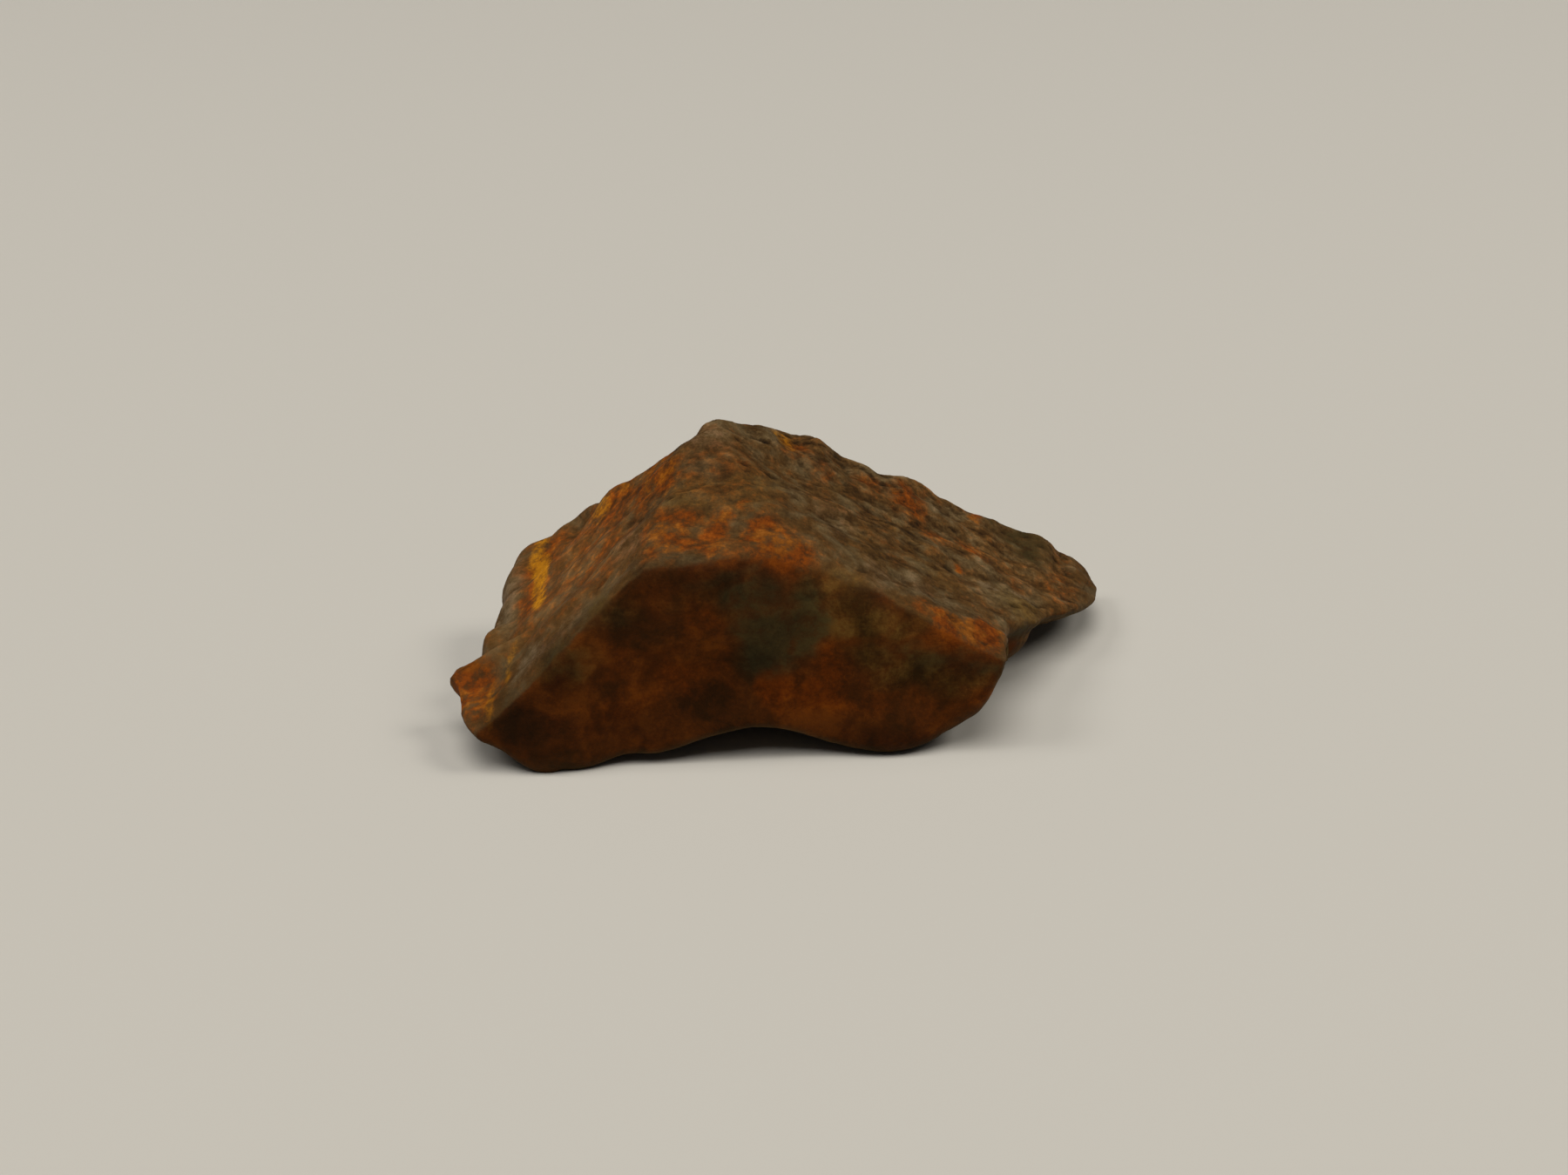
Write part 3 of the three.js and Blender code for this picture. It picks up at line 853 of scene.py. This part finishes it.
palettes = {  # linear colours, from the darkest to the palest of each finish
    "brown": [
        (0.08, (0.016, 0.0065, 0.002)),
        (0.34, (0.058, 0.027, 0.007)),
        (0.56, (0.108, 0.052, 0.014)),
        (0.78, (0.175, 0.090, 0.028)),
        (0.96, (0.250, 0.145, 0.056)),
    ],
    "grey": [
        (0.08, (0.016, 0.010, 0.004)),
        (0.34, (0.055, 0.034, 0.013)),
        (0.56, (0.108, 0.073, 0.032)),
        (0.78, (0.170, 0.122, 0.060)),
        (0.96, (0.250, 0.188, 0.105)),
    ],
    "front": [
        (0.18, (0.030, 0.0105, 0.0012)),
        (0.42, (0.047, 0.0139, 0.0015)),
        (0.60, (0.065, 0.0177, 0.0018)),
        (0.85, (0.098, 0.0272, 0.0027)),
    ],
    "frontRust": [
        (0.15, (0.078, 0.0170, 0.0011)),
        (0.50, (0.135, 0.0283, 0.0015)),
        (0.85, (0.200, 0.0480, 0.0028)),
    ],
    "rust": [
        (0.10, (0.072, 0.018, 0.003)),
        (0.40, (0.145, 0.034, 0.004)),
        (0.65, (0.232, 0.055, 0.005)),
        (0.92, (0.370, 0.095, 0.010)),
    ],
    "amber": [
        (0.10, (0.050, 0.022, 0.004)),
        (0.40, (0.115, 0.048, 0.007)),
        (0.65, (0.190, 0.080, 0.010)),
        (0.92, (0.290, 0.135, 0.022)),
    ],
    "ochre": [
        (0.15, (0.180, 0.068, 0.005)),
        (0.50, (0.380, 0.150, 0.006)),
        (0.85, (0.540, 0.240, 0.015)),
    ],
    "dark": [
        (0.10, (0.024, 0.0195, 0.0066)),
        (0.50, (0.039, 0.0305, 0.0098)),
        (0.90, (0.060, 0.0455, 0.0140)),
    ],
    "olive": [
        (0.10, (0.024, 0.013, 0.003)),
        (0.50, (0.088, 0.056, 0.014)),
        (0.90, (0.165, 0.110, 0.032)),
    ],
    "moss": [
        (0.15, (0.027, 0.0140, 0.0022)),
        (0.50, (0.070, 0.0350, 0.0060)),
        (0.85, (0.124, 0.0660, 0.0130)),
    ],
    # pale tan-grey: worn metal and specks, and on the bevel partly a painted sheen
    "pale": [
        (0.10, (0.045, 0.026, 0.011)),
        (0.50, (0.140, 0.093, 0.046)),
        (0.90, (0.270, 0.190, 0.110)),
    ],
}
finish = {
    "grain": {"turn": -0.178, "scale": (0.75, 1.0, 0.85)},  # radians; stretched along the grain
    "noises": {  # scale for each millimetre, detail, roughness, bend, and what becomes 0 and 1
        "cloudy": (0.24, 3.0, 0.60, 0.0, 0.30, 0.70),
        "blotch": (0.50, 4.0, 0.60, 0.0, 0.30, 0.70),
        "bark": (1.00, 6.0, 0.66, 0.3, 0.28, 0.72),
        "mottle": (1.10, 5.0, 0.65, 0.0, 0.30, 0.70),
        "grit": (3.60, 4.0, 0.70, 0.0, 0.25, 0.75),
    },
    "soft": (0.26, 7.0, 0.56, 0.5),  # a noise that is used as it is
    "sums": {  # a start, then the share of each signal
        "high": (0, {"fine": 0.15, "broad": 0.10, "layers": 0.10, "hollow": -0.22}),
        "rim": (-0.225, {"blotch": 0.25, "mottle": 0.20}),
        "spread": (-0.85, {"mottle": 0.9, "bark": 0.5, "grit": 0.3}),
        "tone": (-0.355, {"bark": 0.18, "mottle": 0.20, "blotch": 0.24, "grit": 0.09, "high": 0.85}),
        "calmTone": (-0.75, {"soft": 2.1, "mottle": 0.28, "grit": 0.12, "fine": 0.06, "hollow": -0.06}),
        "rustTone": (0.01, {"mottle": 0.50, "blotch": 0.24, "bark": 0.14, "grit": 0.08, "high": 0.5}),
        "grey": (0, {"cloudy": 0.6, "blotch": 0.4}),
        "flecks": (0, {"grit": 0.15, "mottle": 0.7, "cloudy": -0.25, "bark": 0.3}),
        "amber": (0, {"cloudy": 0.3, "blotch": 0.7}),
        "shade": (-0.25, {"grit": 0.34, "bark": 0.16, "hollow": -0.2}),
        "bump": (0, {"bark": 0.28, "mottle": 0.3}),
    },
    "spans": {  # where a mask or a sum starts to show, and where it is full
        "front": (0.18, 0.72),
        "grey": (0.3, 0.9),
        "flecks": (0.5, 0.95),
        "amber": (0.4, 0.8),
        "olive": (0.1, 1.2),
        "pale": (0.1, 1.2),
        "dark": (0.1, 1.1),
        "rust": (0.05, 1.2),
        "ochre": (0.15, 1.0),
        "light": (0, 1.4),
        "dim": (0, 1.4),
    },
    "cover": {  # how much of a palette shows where its mask is full
        "grey": 0.75,
        "flecks": 0.32,
        "olive": 0.75,
        "pale": 0.8,
        "frontRust": 0.3,
        "moss": 0.85,
        "amber": 0.45,
        "dark": 0.85,
        "under": 0.5,
    },
    "middleTone": 0.50,  # where on a palette an even spot lies
    "shade": {"start": 0.97, "light": 0.6, "dim": 0.5},  # what the light patches add, the dim ones take; both partly paint light and shade
    "frontCalm": 0.4,  # how much weaker the patterns are on the front face
    "roughness": {"start": 0.66, "rust": 0.13, "pale": 0.15, "grit": 0.12},  # pale is the smoother
    "gloss": 0.06,
    "bump": {"strength": 0.7, "height": 0.15 * mm, "grit": 0.42},
}


def ironMaterial():
    # brown and grey by a tone, then each palette laid over the last by its mask, and the whole
    # multiplied by a shade
    tree = Tree("weatheredIron")
    cover, rough = finish["cover"], tree.mask("rough")
    objectPlace = tree.add("TexCoord", output="Object")
    place = tree.add("VectorMath", {"operation": "SCALE"}, {0: objectPlace, 3: 1 / mm})
    grain = tree.add("Mapping", None, {
        "Vector": place,
        "Rotation": (0, 0, finish["grain"]["turn"]),
        "Scale": finish["grain"]["scale"],
    })
    signals = {name: tree.mask(name) for name in ("fine", "broad", "hollow", "layers")}
    signals["soft"] = tree.speckle(place, *finish["soft"])
    for name, (*pattern, low, high) in finish["noises"].items():
        speckle = tree.speckle(grain if name == "bark" else place, *pattern)
        signals[name] = tree.step(speckle, low, high)

    def total(name):
        # a start plus each signal times its share
        start, shares = finish["sums"][name]
        return sum((signals[part] * share for part, share in shares.items()), start)

    def shown(name, value):
        # 0 to 1 over the finish's own span
        return tree.step(value, *finish["spans"][name])

    def colour(name, tone):
        # the palette read at a tone from 0 to 1
        return tree.ramp(tone, palettes[name])

    signals["high"] = total("high")
    front = shown("front", tree.mask("front") + total("rim"))
    calm = 1 - front * finish["frontCalm"]
    spread = total("spread") * calm + 1
    tone = total("tone") * rough + finish["middleTone"]
    calmTone, rustTone = total("calmTone"), total("rustTone")
    grey, flecks, amber = (shown(name, total(name)) for name in ("grey", "flecks", "amber"))
    olive, pale, dark, rust, ochre = (
        shown(name, tree.mask(name) * spread) for name in ("olive", "pale", "dark", "rust", "ochre")
    )
    rust = rust * (1 - dark)

    base = tree.mix(grey * cover["grey"], colour("brown", tone), colour("grey", tone))
    base = tree.mix(flecks * cover["flecks"], base, colour("rust", tone))
    base = tree.mix(olive * cover["olive"], base, colour("olive", tone))
    base = tree.mix(pale * cover["pale"], base, colour("pale", tone))
    frontRust = colour("frontRust", calmTone)
    face = tree.mix(signals["cloudy"] * cover["frontRust"], colour("front", calmTone), frontRust)
    base = tree.mix(front, base, face)
    base = tree.mix(front * olive * cover["moss"], base, colour("moss", calmTone))
    base = tree.mix(dark * cover["dark"], base, colour("dark", calmTone))
    roofRust = tree.mix(amber * cover["amber"], colour("rust", rustTone), colour("amber", rustTone))
    base = tree.mix(rust, base, tree.mix(front, roofRust, frontRust))
    base = tree.mix(ochre, base, colour("ochre", tone))
    # painted shade laid on the faces that point down
    base = tree.mix(tree.mask("under") * cover["under"], base, colour("dark", tone))

    shade = total("shade") * calm * rough + finish["shade"]["start"]
    # painted light and shade: the light patches partly paint light on the rounded shoulder, the dim
    # ones paint shade at the low edges and under the rim
    shade = shade + shown("light", tree.mask("light")) * finish["shade"]["light"]
    shade = shade - shown("dim", tree.mask("dim")) * finish["shade"]["dim"]
    base = tree.add("VectorMath", {"operation": "SCALE"}, {0: base, 3: shade})

    roughness, bump = finish["roughness"], finish["bump"]
    dull = rust * roughness["rust"] - pale * roughness["pale"] + signals["grit"] * roughness["grit"]
    height = total("bump") * calm + signals["grit"] * bump["grit"]
    bumps = tree.add("Bump", None, {
        "Strength": bump["strength"],
        "Distance": bump["height"],
        "Height": height,
    })
    shader = tree.add("BsdfPrincipled", None, {
        "Base Color": base,
        "Roughness": dull + roughness["start"],
        "Specular IOR Level": finish["gloss"],
        "Normal": bumps,
    })
    tree.add("OutputMaterial", None, {"Surface": shader})
    return tree.material


meteorite = buildFragment()
meteorite.data.materials.append(ironMaterial())
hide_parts("meteorite")
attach(meteorite, "root")
print("fragment:", len(meteorite.data.polygons), "faces")

paper = {"size": 14.0, "colour": (0.575, 0.55, 0.50), "roughness": 0.9}


def paperFloor():
    # a square with its corners half its size away from the origin along each axis, at z = 0
    half = paper["size"] / 2
    corners = [(-half, -half, 0), (half, -half, 0), (half, half, 0), (-half, half, 0)]
    mesh = bpy.data.meshes.new("floor")
    mesh.from_pydata(corners, [], [(0, 1, 2, 3)])
    floor = bpy.data.objects.new("floor", mesh)
    scene.collection.objects.link(floor)
    tree = Tree("paper")
    shader = tree.add("BsdfPrincipled", None, {
        "Base Color": (*paper["colour"], 1),
        "Roughness": paper["roughness"],
    })
    tree.add("OutputMaterial", None, {"Surface": shader})
    mesh.materials.append(tree.material)


paperFloor()
print("floor laid")

lamps = {  # place and width in metres, power in watts
    "over": {"at": (-0.16, -0.96, 3.3), "size": 2.7, "watts": 78, "colour": (1.0, 0.975, 0.93)},
    "left": {"at": (-2.24, -0.3, 2.56), "size": 1.36, "watts": 25, "colour": (1.0, 0.985, 0.95)},
    "right": {"at": (2.34, -0.16, 2.56), "size": 1.36, "watts": 36, "colour": (1.0, 0.965, 0.89)},
}
room = {"colour": (0.95, 0.96, 1.0), "strength": 0.05}


def light():
    # round soft lamps that point from their places to the origin, and a faint even room
    for name, row in lamps.items():
        lamp = bpy.data.lights.new(name, "AREA")
        lamp.shape = "DISK"
        lamp.size, lamp.energy, lamp.color = row["size"], row["watts"], row["colour"]
        holder = bpy.data.objects.new(name, lamp)
        holder.location = row["at"]
        holder.rotation_euler = (-Vector(row["at"])).to_track_quat("-Z", "Y").to_euler()
        scene.collection.objects.link(holder)
    world = bpy.data.worlds.new("room")
    world.use_nodes = True
    background = world.node_tree.nodes["Background"]
    background.inputs["Color"].default_value = (*room["colour"], 1)
    background.inputs["Strength"].default_value = room["strength"]
    scene.world = world
    scene.view_settings.view_transform = "Standard"


light()
print("lights set")

view = {  # angles in degrees, lens and sensor in millimetres, the rest in metres
    "target": (-0.0006, -0.0039, 0.0112),
    "azimuth": 0,
    "elevation": 25,
    "distance": 0.188,
    "lens": 49.4,
    "sensor": 36,
    "clip": (0.01, 10),
}


def setCamera():
    # the target plus the distance along the azimuth and elevation, looking back the same way
    a, e = math.radians(view["azimuth"]), math.radians(view["elevation"])
    back = Vector((math.sin(a) * math.cos(e), -math.cos(a) * math.cos(e), math.sin(e)))
    lens = bpy.data.cameras.new("camera")
    lens.lens, lens.sensor_width = view["lens"], view["sensor"]
    lens.clip_start, lens.clip_end = view["clip"]
    camera = bpy.data.objects.new("camera", lens)
    camera.location = Vector(view["target"]) + back * view["distance"]
    camera.rotation_euler = (-back).to_track_quat("-Z", "Y").to_euler()
    scene.collection.objects.link(camera)
    scene.camera = camera


setCamera()
print("camera set")
